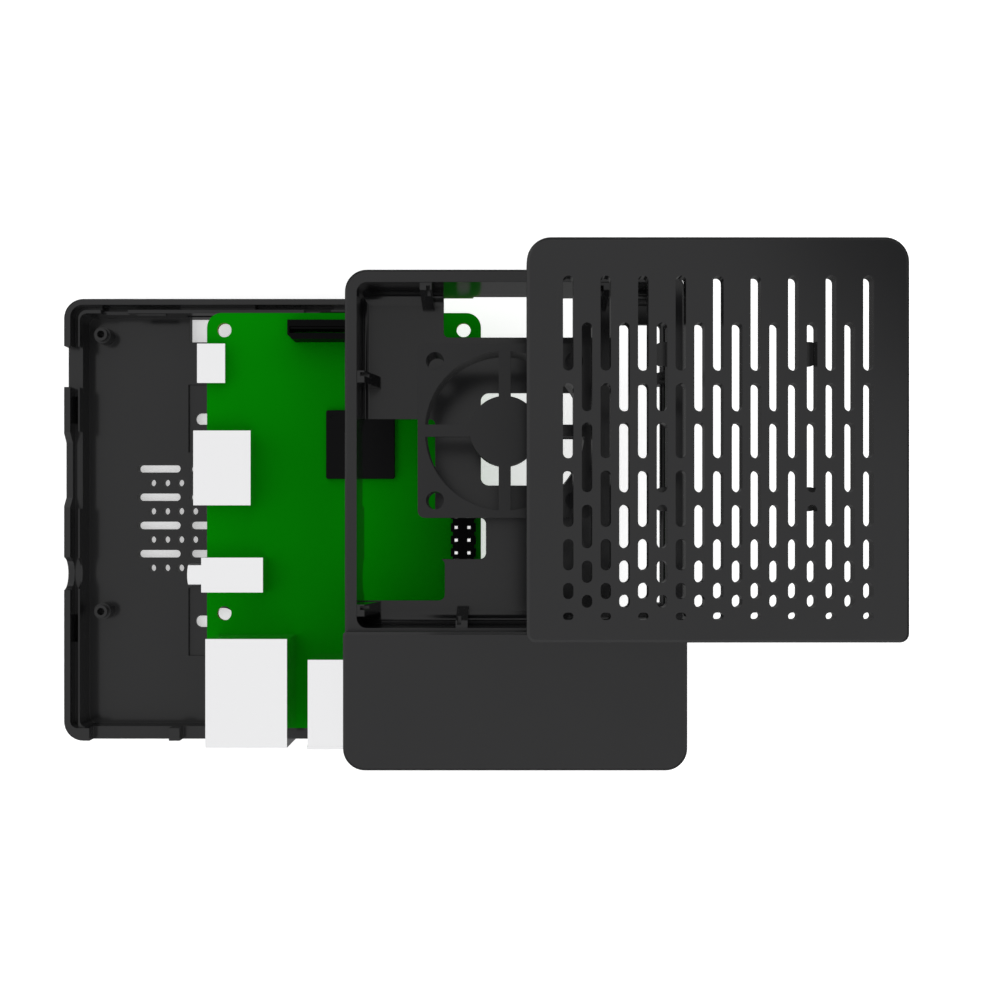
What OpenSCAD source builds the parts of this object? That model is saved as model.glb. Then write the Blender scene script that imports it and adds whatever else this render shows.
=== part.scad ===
// Single board computer with its snap-together fan case, pulled apart into layers:
// base shell, circuit board, middle frame, 30 mm fan and slotted lid.
// Origin: centre of the base shell's underside, midway between its two wall keyholes.
// +Z is up through the layers, +Y points to the memory card end, -Y to the USB end.

/* [Case] */
// Width of the case
case_w = 62.5; // [62.5:0.25:64]
// Length of the case
case_l = 91.5; // [91.5:0.25:93]
// Outer corner radius of the case
case_r = 4; // [3.5:0.25:5]
// Thickness of the base shell's floor
floor_t = 2.6; // [2.2:0.1:3.2]
// Height of the base shell's rim above its inner floor
rim_h = 8.6; // [8.6:0.1:9.4]
// Height of the middle frame from its lower edge to the ledge under the lid
frame_h = 15.7; // [15.4:0.1:17]
// Thickness of the lid
lid_t = 3.3; // [2.6:0.1:3.6]
// Width of the lid's vent slots
slot_w = 1.7; // [1.2:0.1:2.2]
// Bevel along the outer edges of the lid and the frame
edge = 0.5; // [0.3:0.1:0.7]

/* [Board] */
// Width of the circuit board
board_w = 56.1; // [55.9:0.1:56.2]
// Length of the circuit board
board_l = 85; // [84.8:0.1:85.2]
// Thickness of the circuit board
board_t = 1.4; // [1.2:0.1:1.6]
// Height of the board's underside above the base shell's inner floor
board_seat = 4; // [4:0.1:4.4]
// Diameter of the board's mounting holes
board_hole_d = 2.9; // [2.7:0.1:3.1]
// Distance between the header's pins
pin_pitch = 2.54; // [2.54]

/* [Fan] */
// Side of the square fan
fan_size = 30; // [30]
// Thickness of the fan
fan_t = 10; // [9:0.5:10]
// Distance between the fan's corner holes
fan_span = 24; // [24]
// Diameter of the fan's corner holes
fan_hole_d = 3.1; // [2.9:0.1:3.3]

/* [Layout] */
// Sideways shift of the board from its seat
board_shift = 27.06; // [0:0.01:60]
// Height of the board above its seat
board_lift = 6.3; // [6.3:0.1:12]
// Sideways shift of the middle frame from its seat
frame_shift = 61.76; // [0:0.01:120]
// Height of the middle frame above its seat
frame_lift = 19.4; // [19.4:0.1:30]
// Sideways shift of the fan from its seat
fan_shift = 56.38; // [0:0.01:120]
// Height of the fan above its seat
fan_lift = 37.9; // [37.9:0.1:45]
// Sideways shift of the lid from its seat
lid_shift = 94.63; // [0:0.01:160]
// Height of the lid above its seat
lid_lift = 46.7; // [46.7:0.1:60]

/* [Hidden] */
$fn = 48;
eps = 0.01;
far = 60;

// Base shell
wall_out = 1.35;              // outer rim of the wall
groove = 1.3;                 // groove that takes the frame's lower edge
tongue = 0.35;                // thin inner lip
tongue_h = 7.4;               // top of the inner lip above the floor
groove_h = 5;                 // bottom of the groove above the floor
bay_w = case_w - 2 * (wall_out + groove + tongue);
bay_far = case_l / 2 - 2.85;  // inner face at the card end
bay_near = -case_l / 2 + 2.65; // inner face at the USB end
sill_h = 5.2;                 // low wall under the USB and network sockets
key_span = 43.2;              // distance between the wall keyholes
key_r = 2.9;                  // keyhole, round part
key_slot_w = 2.5;             // keyhole, narrow part
pad = 14.4;                   // square recess in the floor around each keyhole
pad_depth = 0.8;
post_r = 1.75;                // post up to the board's underside
peg_r = 1.35;                 // peg on the post, which stands in the board's hole
peg_h = 1.2;
screw_r = 0.75;               // pilot hole down the post
card_gap_w = 13.8;            // finger gap for the memory card

// Board, measured from its left edge (u) and from its card end (v)
board_y = -0.15;
hole_x = 24.5;                // half the hole spacing across
hole_v = [3.5, 61.5];
function bx(u) = u - board_w / 2;
function by(v) = board_y + board_l / 2 - v;
usb_u = [22.45, 40.4];
usb_w = 13.1;
usb_l = 17.4;
usb_h = 15.6;
usb_mouth = [12.5, 10, 5.2];  // each USB opening: width, depth, height
usb_mouth_z = [1.6, 8.9];
usb_v = 87.1;                 // front of the USB and network sockets
lan_u = 2.3;
lan = [16, 21.3, 13.5];
lan_skin = 0.5;
hdmi_v = 32;
power_v = 10.6;
audio_v = 53.5;
audio_z = 3;
audio_bore_r = 1.8;
chip_u = 31.5;
chip_v = 27;
header_u = 52.55;
header_v = 32.5;
header_rows = 20;
pin = 0.64;
pin_up = 8.2;                 // straight part of a pin above the board
pin_down = 1.4;               // tail of a pin below the board
pin_tip = 0.9;                // width of a pin's tip, as a part of the pin's width
pin_tip_h = 0.3;
ribbon_u = [17.2, 39];
ribbon_v = [2.1, 6];
ribbon_slot_v = [3.45, 4.8];
ribbon_h = 5.5;
card = [11, 15, 0.75];
card_v = -0.5;                // the card stands this far out of the board's edge

// Middle frame
wall = 2.2;
well_depth = 12.7;
well_floor = frame_h - well_depth;
deck_t = 1.5;                 // thickness of the frame's floor
well_w = case_w - 2 * wall;
well_far = case_l / 2 - 2.35;
well_near = -20.1;
well_l = well_far - well_near;
well_y = (well_far + well_near) / 2;
step_y = -20.6;               // where the raised block begins
block_rise = lid_t + 0.1;
block_l = step_y + case_l / 2;
roof_t = 1.8;
cove_end = 2.5;               // rounding where the deck meets the end walls
cove_side = 1.3;
catch_w = 2.2;
catch_l = 3.4;
catch_top = 1.4;              // width of the ramp's flat top
catch_foot = 1.5;             // height of the ramp's upright foot
catch_x = [16.4, 9.8];        // far wall, near wall
catch_y = [26.1, -16.9];      // side walls
slit_w = 0.7;
slit_l = 2;
slit_h = 3.4;
slit_y = 0.45;                // the slits are off the catches' middles
blade_t = 0.44;
blade_h = 2.9;

// Fan and lid
fan_axis = [3.45, 15];        // over the processor
duct_r = 13.75;
hub_r = 6;
strut_w = 2.1;
strut_t = 1.5;
boss_h = 1.5;
lid_l = case_l / 2 - step_y - 0.1;
lid_y = case_l / 2 - lid_l / 2;
slot_pitch = 6.12;

// Heights of the layers
board_top = floor_t + board_seat + board_t + board_lift;
frame_z = floor_t + rim_h + frame_lift;
lid_z = floor_t + rim_h + frame_h + lid_lift;
fan_z = floor_t + rim_h + frame_h - boss_h - fan_t + fan_lift;

// ---------- shared shapes ----------

// Rectangle with round corners: r_far at +Y, r_near at -Y
module round_rect(w, l, r_far, r_near) {
    translate([-w / 2, -l / 2 + r_near]) square([w, l - r_far - r_near]);
    translate([-w / 2 + r_far, l / 2 - 2 * r_far]) square([w - 2 * r_far, 2 * r_far]);
    translate([-w / 2 + r_near, -l / 2]) square([w - 2 * r_near, 2 * r_near]);
    for (s = [-1, 1]) {
        translate([s * (w / 2 - r_far), l / 2 - r_far]) circle(r_far);
        translate([s * (w / 2 - r_near), -l / 2 + r_near]) circle(r_near);
    }
}

// Straight bevel b high on top of a rounded rectangle
module bevel_cap(w, l, r_far, r_near, b) {
    for (s = [-1, 1]) {
        translate([s * (w / 2 - r_far), l / 2 - r_far, 0]) cylinder(h = b, r1 = r_far, r2 = r_far - b);
        translate([s * (w / 2 - r_near), -l / 2 + r_near, 0]) cylinder(h = b, r1 = r_near, r2 = r_near - b);
    }
    translate([0, l / 2 - r_far, 0]) rotate([90, 0, 0]) linear_extrude(l - r_far - r_near)
        polygon([[-w / 2, 0], [w / 2, 0], [w / 2 - b, b], [-w / 2 + b, b]]);
    translate([-w / 2 + r_far, 0, 0]) rotate([90, 0, 90]) linear_extrude(w - 2 * r_far)
        polygon([[0, 0], [l / 2, 0], [l / 2 - b, b], [0, b]]);
    translate([-w / 2 + r_near, 0, 0]) rotate([90, 0, 90]) linear_extrude(w - 2 * r_near)
        polygon([[0, 0], [-l / 2, 0], [-l / 2 + b, b], [0, b]]);
}

module bevel_plate(w, l, h, r_far, r_near, b) {
    linear_extrude(h - b) round_rect(w, l, r_far, r_near);
    translate([0, 0, h - b]) bevel_cap(w, l, r_far, r_near, b);
}

// Slot along Y with round ends, or along X when it is shorter than it is wide
module slot(l, w) {
    if (l >= w) {
        square([w, l - w], center = true);
        for (s = [-1, 1]) translate([0, s * (l - w) / 2]) circle(w / 2);
    } else {
        square([w - l, l], center = true);
        for (s = [-1, 1]) translate([s * (w - l) / 2, 0]) circle(l / 2);
    }
}

// Box given by its lowest and highest corners
module span(a, b) {
    translate(a) cube(b - a);
}

module on_board() {
    translate([board_shift, 0, board_top]) children();
}

module on_frame() {
    translate([frame_shift, 0, frame_z]) children();
}

module on_fan() {
    translate([fan_shift + fan_axis[0], fan_axis[1], fan_z]) children();
}

module on_lid() {
    translate([lid_shift, 0, lid_z]) children();
}

// ---------- base shell ----------

module base_walls() {
    bay_l = bay_far - bay_near;
    bay_y = (bay_far + bay_near) / 2;
    rim_far = case_l / 2 - 1.25;
    rim_l = rim_far - bay_near;
    lip_far = bay_far + 0.74;
    difference() {
        union() {
            translate([0, 0, 0.6]) linear_extrude(floor_t + rim_h - 0.9)
                round_rect(case_w, case_l, case_r, case_r);
            translate([0, 0, 0.6]) mirror([0, 0, 1]) bevel_cap(case_w, case_l, case_r, case_r, 0.6);
            translate([0, 0, floor_t + rim_h - 0.3]) bevel_cap(case_w, case_l, case_r, case_r, 0.3);
        }
        // The bay that holds the board
        translate([0, bay_y, floor_t]) linear_extrude(far) round_rect(bay_w, bay_l, 1.5, 1.5);
        // Above the inner lip
        translate([0, bay_near + rim_l / 2, floor_t + tongue_h]) linear_extrude(far)
            round_rect(bay_w + 2 * (tongue + groove), rim_l, 2.6, 1.5);
        // The groove round the lip, deeper at the card end
        translate([0, 0, floor_t + groove_h]) linear_extrude(far) difference() {
            translate([0, bay_near + rim_l / 2]) round_rect(bay_w + 2 * (tongue + groove), rim_l, 2.6, 1.5);
            translate([0, (lip_far - far) / 2]) round_rect(bay_w + 2 * tongue, lip_far + far, 1.8, 1.8);
        }
        for (s = [-1, 1])
            translate([s * 16, (lip_far + rim_far) / 2, floor_t + 2.4])
                translate([-8.2, -(rim_far - lip_far) / 2, 0]) cube([16.4, rim_far - lip_far, 4]);
    }
}

// What passes through or into the base shell's walls
module base_cuts() {
    z = floor_t;
    left = -case_w / 2 - 1;
    bay = -bay_w / 2 + 0.3;
    lip = -bay_w / 2 - tongue - groove + 0.1;
    // Power, video and audio notches in the left wall
    span([left, by(power_v) - 4.25, z + 5], [bay, by(power_v) + 4.25, far]);
    span([lip, by(hdmi_v) - 8, z + sill_h], [bay, by(hdmi_v) + 8, far]);
    translate([left, by(hdmi_v), z]) rotate([90, 0, 90]) linear_extrude(lip - left + eps)
        polygon([[-5.7, 6.6], [5.7, 6.6], [7.8, rim_h], [7.8, far], [-7.8, far], [-7.8, rim_h]]);
    translate([left, by(audio_v), z + rim_h]) rotate([0, 90, 0]) cylinder(h = bay - left, r = 3.4);
    // Low sill under the network and USB sockets, with the posts between them left standing
    near = -case_l / 2 - 1;
    for (x = [[-26, -9.5], [-7.3, 8.7], [11, 26]])
        span([x[0], near, z + sill_h], [x[1], bay_near + eps, far]);
    // Snap pockets in the side grooves
    for (s = [-1, 1])
        for (y = [23, -22.6])
            translate([s * (bay_w / 2 + tongue + groove / 2), y, z + 1.5])
                translate([-groove / 2, -2.85, 0]) cube([groove, 5.7, 4]);
    // Gaps in the inner lip at the card end
    for (s = [-1, 1])
        translate([s * 21.1 - 2.8, bay_far - 0.1, z + groove_h]) cube([5.6, 1, 4]);
    // Finger gap in the floor and window in the end wall for the memory card
    span([-card_gap_w / 2, 37.8, -1], [card_gap_w / 2, bay_far, z + 1]);
    span([-card_gap_w / 2, bay_far - 0.1, z + 1.6], [card_gap_w / 2, case_l / 2 + 1, z + 3.9]);
}

// Cooling slots and holes in the floor
module base_vents() {
    for (x = [-13.47 : 11.1 : 9], y = [10.93 : -6.03 : -8])
        translate([x, y, -1]) rotate([0, 0, 90]) linear_extrude(floor_t + 2) slot(9.13, 1.6);
    for (x = [-14.86 : 2.98 : 12], y = [7.92 : -6.03 : -11])
        translate([x, y, -1]) cylinder(h = floor_t + 2, r = 0.75);
}

module keyholes() {
    for (s = [-1, 1]) translate([0, s * key_span / 2, -1]) {
        cylinder(h = floor_t + 4, r = key_r);
        translate([-6 + key_slot_w / 2, 0, 0]) cylinder(h = floor_t + 4, r = key_slot_w / 2);
        translate([-6 + key_slot_w / 2, -key_slot_w / 2, 0])
            cube([6 - key_slot_w / 2, key_slot_w, floor_t + 4]);
    }
}

module base_shell() {
    color("#1a1a1c") difference() {
        union() {
            difference() {
                base_walls();
                base_cuts();
            }
            // Posts that the board sits on
            for (s = [-1, 1], v = hole_v) translate([s * hole_x, by(v), floor_t - eps]) {
                cylinder(h = board_seat + eps, r = post_r);
                cylinder(h = board_seat + peg_h, r = peg_r);
            }
            // Clips over the board's card end
            for (s = [-1, 1])
                translate([s * 13.5 - 3, bay_far - 0.35, floor_t + board_seat + board_t + 0.2])
                    cube([6, 0.6, 1]);
        }
        for (s = [-1, 1], v = hole_v)
            translate([s * hole_x, by(v), floor_t + 1.5]) cylinder(h = far, r = screw_r);
        base_vents();
        keyholes();
        for (s = [-1, 1])
            translate([-pad / 2, s * key_span / 2 - pad / 2, floor_t - pad_depth]) cube([pad, pad, far]);
    }
}

// ---------- circuit board and what is soldered to it ----------

module circuit_board() {
    color("#0a7a12") on_board() translate([0, 0, -board_t]) linear_extrude(board_t) difference() {
        translate([0, board_y]) round_rect(board_w, board_l, 3, 3);
        for (s = [-1, 1], v = hole_v) translate([s * hole_x, by(v)]) circle(board_hole_d / 2);
        pin_grid() circle(0.5);
    }
}

module processor() {
    color("#151515") on_board() translate([bx(chip_u), by(chip_v), 0]) difference() {
        bevel_plate(14, 14, 1.2, 0.4, 0.4, 0.15);
        translate([-5.6, 5.6, 1.1]) cylinder(h = 1, r = 0.5);
    }
}

module memory_chip() {
    color("#151515") on_board() translate([bx(chip_u), by(chip_v), -board_t]) mirror([0, 0, 1])
        bevel_plate(14, 12, 1, 0.4, 0.4, 0.15);
}

// Socket outline with its lower corners cut away: w wide, h high
module socket_outline(w, h, cut_w, cut_h) {
    polygon([
        [-w / 2 + cut_w, 0], [w / 2 - cut_w, 0], [w / 2, cut_h],
        [w / 2, h], [-w / 2, h], [-w / 2, cut_h]
    ]);
}

// Shell of a left-edge socket: opens towards -X, skin thick, with a closed back
module edge_socket(l, w, h, cut_w, cut_h, skin, depth) {
    rotate([90, 0, 90]) difference() {
        linear_extrude(l) socket_outline(w, h, cut_w, cut_h);
        translate([0, skin, -1]) linear_extrude(depth + 1)
            socket_outline(w - 2 * skin, h - 2 * skin, cut_w, cut_h);
    }
}

module power_shell() {
    color("#d9dadb") on_board() translate([bx(-1.5), by(power_v), 0])
        edge_socket(5.7, 8, 2.7, 1, 1.2, 0.3, 4.2);
}

module power_tongue() {
    color("#161616") on_board() span(
        [bx(-0.7), by(power_v) - 1.8, 1.45], [bx(-1.5) + 4.2, by(power_v) + 1.8, 2.0]);
}

module video_shell() {
    color("#d9dadb") on_board() translate([bx(-1.5), by(hdmi_v), 0])
        edge_socket(11.5, 15, 6.5, 2.3, 2.2, 0.45, 8.6);
}

module video_tongue() {
    color("#161616") on_board() span(
        [bx(-0.9), by(hdmi_v) - 5.4, 2.9], [bx(-1.5) + 8.6, by(hdmi_v) + 5.4, 3.8]);
}

module audio_socket() {
    color("#d9dadb") on_board() difference() {
        union() {
            span([bx(0), by(audio_v) - 3.5, 0], [bx(12.4), by(audio_v) + 3.5, 6]);
            translate([bx(-2.9), by(audio_v), audio_z]) rotate([0, 90, 0]) cylinder(h = 3, r = 2.6);
        }
        translate([bx(-2.9) - 1, by(audio_v), audio_z]) rotate([0, 90, 0])
            cylinder(h = 15, r = audio_bore_r);
    }
}

module on_lan() {
    on_board() translate([bx(lan_u + lan[0] / 2), by(usb_v), 0]) children();
}

module network_shell() {
    color("#d9dadb") on_lan() difference() {
        span([-lan[0] / 2, 0, 0], [lan[0] / 2, lan[1], lan[2]]);
        span([-lan[0] / 2 + lan_skin, -1, lan_skin],
            [lan[0] / 2 - lan_skin, lan[1] - lan_skin, lan[2] - lan_skin]);
    }
}

// The plug's way into the network socket, wide part and latch part
module lan_mouth() {
    span([-5.9, -1, 4.2], [5.9, 14, 11]);
    span([-3, -1, 2.4], [3, 14, 4.3]);
}

module network_insert() {
    color("#161616") on_lan() difference() {
        span([-lan[0] / 2 + lan_skin, 0.4, lan_skin],
            [lan[0] / 2 - lan_skin, lan[1] - lan_skin, lan[2] - lan_skin]);
        lan_mouth();
        // Windows for the two lamps
        for (s = [-1, 1]) translate([s * 5.6, 0, 0]) span([-1.2, 0, 11.3], [1.2, 1.4, 12.7]);
    }
}

module network_lamps() {
    color("#d8c860") on_lan() for (s = [-1, 1])
        translate([s * 5.6, 0, 0]) span([-1.2, 0.4, 11.3], [1.2, 1.4, 12.7]);
}

module network_contacts() {
    color("#d4af37") on_lan() for (i = [0 : 7])
        translate([(i - 3.5) * 1.02, 0, 0]) rotate([90, 0, 90]) translate([0, 0, -0.18])
            linear_extrude(0.36) polygon([[3, 10.6], [13.9, 8.2], [14, 8.6], [3.2, 11]]);
}

module usb_shell(u) {
    color("#d9dadb") on_board() translate([bx(u + usb_w / 2), by(usb_v), 0]) difference() {
        union() {
            span([-usb_w / 2 + 0.15, 0.5, 0], [usb_w / 2 - 0.15, usb_l, usb_h - 0.15]);
            span([-usb_w / 2, 0, 0.6], [usb_w / 2, 0.6, usb_h]);
        }
        for (z = usb_mouth_z)
            span([-usb_mouth[0] / 2, -1, z], [usb_mouth[0] / 2, usb_mouth[1], z + usb_mouth[2]]);
    }
}

module usb_tongues(u) {
    color("#f0f0ee") on_board() translate([bx(u + usb_w / 2), by(usb_v), 0])
        for (z = usb_mouth_z)
            span([-5.55, 1, z + 2.7], [5.55, usb_mouth[1], z + 4.5]);
}

module usb_shell_inner() {
    usb_shell(usb_u[0]);
}

module usb_tongues_inner() {
    usb_tongues(usb_u[0]);
}

module usb_shell_outer() {
    usb_shell(usb_u[1]);
}

module usb_tongues_outer() {
    usb_tongues(usb_u[1]);
}

module ribbon_connector() {
    u = [bx(ribbon_u[0]), bx(ribbon_u[1])];
    v = [by(ribbon_v[1]), by(ribbon_v[0])];
    color("#1c1a1a") on_board() linear_extrude(ribbon_h) difference() {
        polygon([
            [u[0], v[1]], [u[1], v[1]], [u[1], v[0] + 0.9], [u[1] - 0.9, v[0]],
            [u[0] + 0.9, v[0]], [u[0], v[0] + 0.9]
        ]);
        translate([u[0] + 0.45, by(ribbon_slot_v[1])])
            square([u[1] - u[0] - 0.9, ribbon_slot_v[1] - ribbon_slot_v[0]]);
    }
}

module ribbon_latch() {
    color("#2b2828") on_board() span(
        [bx(ribbon_u[0]) + 0.6, by(ribbon_slot_v[0]) - 0.5, 0.6],
        [bx(ribbon_u[1]) - 0.6, by(ribbon_slot_v[0]) - 0.08, ribbon_h - 0.2]);
}

module pin_grid() {
    for (s = [-1, 1], i = [0 : header_rows - 1])
        translate([bx(header_u) + s * pin_pitch / 2,
            by(header_v) + (i - (header_rows - 1) / 2) * pin_pitch]) children();
}

module header_base() {
    color("#161616") on_board() linear_extrude(2.5) difference() {
        for (i = [0 : header_rows - 1])
            translate([bx(header_u), by(header_v) + (i - (header_rows - 1) / 2) * pin_pitch]) {
                square([2 * pin_pitch - 0.8, pin_pitch], center = true);
                square([2 * pin_pitch, pin_pitch - 0.8], center = true);
            }
        pin_grid() square(pin, center = true);
    }
}

module header_pins() {
    straight = board_t + pin_down + pin_up;
    color("#e0e0e0") on_board() pin_grid() translate([0, 0, -board_t - pin_down]) {
        linear_extrude(straight) square(pin, center = true);
        translate([0, 0, straight]) linear_extrude(pin_tip_h) square(pin * pin_tip, center = true);
    }
}

module card_socket() {
    color("#c9cacc") on_board() difference() {
        span([-7, by(15.4), -board_t - 1.4], [7, by(0.6), -board_t]);
        span([-card[0] / 2 - 0.15, by(14.8), -board_t - 1.2], [card[0] / 2 + 0.15, by(0), -board_t - 0.25]);
    }
}

module memory_card() {
    color("#141414") on_board() translate([0, by(card_v) - card[1], -board_t - 1.1])
        linear_extrude(card[2]) difference() {
            translate([0, card[1] / 2]) round_rect(card[0], card[1], 0.8, 0.8);
            translate([card[0] / 2 - 0.9, -1]) square([2, 5.5]);
        }
}

// ---------- middle frame ----------

module cove(r) {
    difference() {
        translate([-0.5, -0.5]) square(r + 0.5);
        translate([r, r]) circle(r);
    }
}

// Rounding where the deck meets the well's walls
module coves() {
    for (s = [0, 1]) mirror([s, 0, 0])
        translate([-well_w / 2, well_far, well_floor]) rotate([90, 0, 0]) linear_extrude(well_l)
            cove(cove_side);
    translate([well_w / 2, well_far, well_floor]) rotate([90, 0, -90]) linear_extrude(well_w)
        cove(cove_end);
    translate([-well_w / 2, well_near, well_floor]) rotate([90, 0, 90]) linear_extrude(well_w)
        cove(cove_end);
}

// One catch on the well's wall: a steep ramp that stands out along +X, wider at its foot,
// with a slit that takes one of the lid's blades
module catch(z0, side) {
    top = frame_h - 0.3;
    difference() {
        translate([0, catch_w / 2, 0]) rotate([90, 0, 0]) linear_extrude(catch_w) polygon([
            [-0.3, z0], [catch_l, z0], [catch_l, z0 + catch_foot], [catch_top, top], [-0.3, top]
        ]);
        translate([0.6, side * slit_y - slit_w / 2, top - slit_h]) cube([slit_l, slit_w, slit_h + 1]);
    }
}

// Places the children at each catch: z0 is where the catch starts
module catch_places() {
    for (s = [0, 1]) mirror([s, 0, 0]) {
        translate([-catch_x[0], well_far, 0]) rotate([0, 0, -90]) children(0);
        translate([-catch_x[1], well_near, 0]) rotate([0, 0, 90]) children(0);
    }
    for (y = catch_y) {
        translate([-well_w / 2, y, 0]) children(0);
        translate([well_w / 2, y, 0]) rotate([0, 0, 180]) children(1);
    }
}

// Openings in the deck: ribbon, left-edge sockets and camera, processor, header
module deck_openings() {
    intersection() {
        union() {
            translate([-0.3, 34.85 + 6]) round_rect(26.5, 12, 1, 1);
            translate([-24.2, 1.77]) round_rect(18, 34.79, 1, 1);
            translate([-22.2, -11.6]) round_rect(17.7, 8.06, 1.2, 1.2);
            translate([-19.2, -3.73]) round_rect(27.5, 7.9, 1.2, 1.2);
            translate([fan_axis[0], 15.35]) round_rect(19.8, 17.8, 1.6, 1.6);
            translate([23.75, 10.1]) round_rect(8.5, 54.5, 1, 1);
        }
        translate([0, well_y]) square([well_w, well_l], center = true);
    }
}

module mid_frame() {
    roof = frame_h + block_rise;
    inner_near = -case_l / 2 + 2.15;
    inner_far = well_near - 1.5;
    color("#1a1a1c") on_frame() difference() {
        union() {
            difference() {
                union() {
                    bevel_plate(case_w, case_l, frame_h, case_r, case_r, edge);
                    translate([0, step_y - block_l / 2, 0])
                        bevel_plate(case_w, block_l, roof, edge + 0.1, case_r, edge);
                }
                translate([0, well_y, well_floor]) linear_extrude(far) round_rect(well_w, well_l, 1.9, 1.9);
                translate([0, well_y, -far]) linear_extrude(far + well_floor - deck_t)
                    round_rect(well_w, well_l, 1.9, 1.9);
                span([-well_w / 2, inner_near, -far], [well_w / 2, inner_far, roof - roof_t]);
            }
            coves();
            catch_places() {
                catch(well_floor - 0.2, 1);
                catch(6, 1);
            }
            // Skirt at the card end, cut short over the card window
            span([-24, case_l / 2 - 2.03, -6.1], [24, case_l / 2 - 1.33, eps]);
        }
        translate([0, 0, well_floor - deck_t - 1]) linear_extrude(deck_t + cove_end + 2) deck_openings();
        span([-8, 40, -far], [8, far, -4.4]);
        // Video and audio notches in the left wall
        span([-case_w / 2 - 1, by(hdmi_v) - 7.9, -far], [-well_w / 2 + eps, by(hdmi_v) + 7.9, 3.7]);
        translate([-case_w / 2 - 1, by(audio_v), 0]) rotate([0, 90, 0])
            cylinder(h = wall + 1 + eps, r = 3.4);
        // Network and USB mouths in the end wall
        for (m = [[-26, -9.5, 10.6], [-5.85, 7.75, 12.9], [12.1, 25.7, 12.9]])
            span([m[0], -far, -far], [m[1], inner_near + eps, m[2]]);
    }
}

// ---------- fan ----------

module fan_housing() {
    color("#202022") on_fan() difference() {
        union() {
            linear_extrude(fan_t) difference() {
                round_rect(fan_size, fan_size, 1.2, 1.2);
                circle(duct_r, $fn = 96);
            }
            translate([0, 0, fan_t - strut_t]) {
                cylinder(h = strut_t, r = hub_r);
                for (a = [0, 90]) rotate([0, 0, a])
                    translate([-strut_w / 2, -duct_r - 0.5, 0]) cube([strut_w, 2 * duct_r + 1, strut_t]);
            }
            translate([0, 0, 3]) cylinder(h = fan_t - 3 - 1, r = 2.2);
        }
        for (x = [-1, 1], y = [-1, 1])
            translate([x * fan_span / 2, y * fan_span / 2, -1]) cylinder(h = fan_t + 2, r = fan_hole_d / 2);
        translate([0, 0, 2]) cylinder(h = fan_t - strut_t - 2, r = 1.6);
    }
}

module fan_bearing() {
    color("#b08d3a") on_fan() translate([0, 0, 3]) difference() {
        cylinder(h = 5.5, r = 1.6);
        translate([0, 0, -1]) cylinder(h = 8, r = 0.8);
    }
}

module fan_shaft() {
    color("#c8c8cc") on_fan() translate([0, 0, 1.3]) cylinder(h = fan_t - strut_t - 1.3 - 0.3, r = 0.75);
}

module fan_coils() {
    color("#b5622b") on_fan() translate([0, 0, 4]) difference() {
        union() {
            cylinder(h = 3.2, r = 2.9);
            intersection() {
                cylinder(h = 3.2, r = 4.1);
                for (a = [45, 135]) rotate([0, 0, a]) translate([-5, -1.3, 0]) cube([10, 2.6, 3.2]);
            }
        }
        translate([0, 0, -1]) cylinder(h = 6, r = 2.2);
    }
}

module fan_driver() {
    color("#1f5c2a") on_fan() translate([0, 0, fan_t - strut_t - 0.8]) difference() {
        cylinder(h = 0.8, r = 4.8);
        translate([0, 0, -1]) cylinder(h = 3, r = 2.2);
    }
}

// Hub cup with its blades, moulded in one piece. At rest the blades stand under the struts.
module fan_rotor() {
    color("#202022") on_fan() {
        difference() {
            translate([0, 0, 0.5]) cylinder(h = 7.1, r = 5.9);
            translate([0, 0, 1.3]) cylinder(h = 7, r = 5.3);
        }
        difference() {
            translate([0, 0, 1.3 - eps]) cylinder(h = 1.2, r = 1.6);
            translate([0, 0, 1.3]) cylinder(h = 3, r = 0.75);
        }
        for (a = [0 : 90 : 270]) rotate([0, 0, a])
            translate([5.6, 0, 0]) rotate([90, 0, 90]) linear_extrude(13.3 - 5.6)
                polygon([[-0.95, 1], [-0.15, 1], [0.95, 7.8], [0.15, 7.8]]);
    }
}

module fan_magnet() {
    color("#4a4a4e") on_fan() translate([0, 0, 1.9]) difference() {
        cylinder(h = 5.4, r = 5.3);
        translate([0, 0, -1]) cylinder(h = 8, r = 4.5);
    }
}

// ---------- lid ----------

// Vent slots, in columns that step between a long and a short pattern: [lowest, highest]
slots_a = [[11.27, 26.77], [-3.01, 9.23], [-14.22, -5.02], [-21.3, -16.2], [-26, -23.35], [-29.4, -28.2]];
slots_b = [[4.65, 19.14], [-8.57, 2.8], [-17.7, -10.6], [-23.35, -19.7], [-27.4, -25.3]];

module vent_columns() {
    for (i = [-4 : 4], s = slots_a)
        translate([i * slot_pitch, (s[0] + s[1]) / 2]) slot(s[1] - s[0], slot_w);
    for (i = [-3.5 : 3.5], s = slots_b)
        translate([i * slot_pitch, (s[0] + s[1]) / 2]) slot(s[1] - s[0], slot_w);
}

// One blade under the lid: it drops into the slit of a catch
module blade() {
    translate([0.75, slit_y - blade_t / 2, -blade_h]) cube([slit_l - 0.3, blade_t, blade_h + eps]);
}

module vent_lid() {
    color("#1a1a1c") on_lid() {
        difference() {
            translate([0, lid_y, 0]) bevel_plate(case_w, lid_l, lid_t, case_r, 1.5, edge);
            translate([0, lid_y, -1]) linear_extrude(lid_t + 2) vent_columns();
        }
        catch_places() {
            blade();
            blade();
        }
        // Spacers and pegs that carry the fan
        for (x = [-1, 1], y = [-1, 1])
            translate([fan_axis[0] + x * fan_span / 2, fan_axis[1] + y * fan_span / 2, 0]) {
                translate([0, 0, -boss_h]) cylinder(h = boss_h + eps, r = 2);
                translate([0, 0, -boss_h - 3.5]) cylinder(h = 3.5 + eps, r = fan_hole_d / 2 - 0.15);
            }
    }
}

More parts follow.
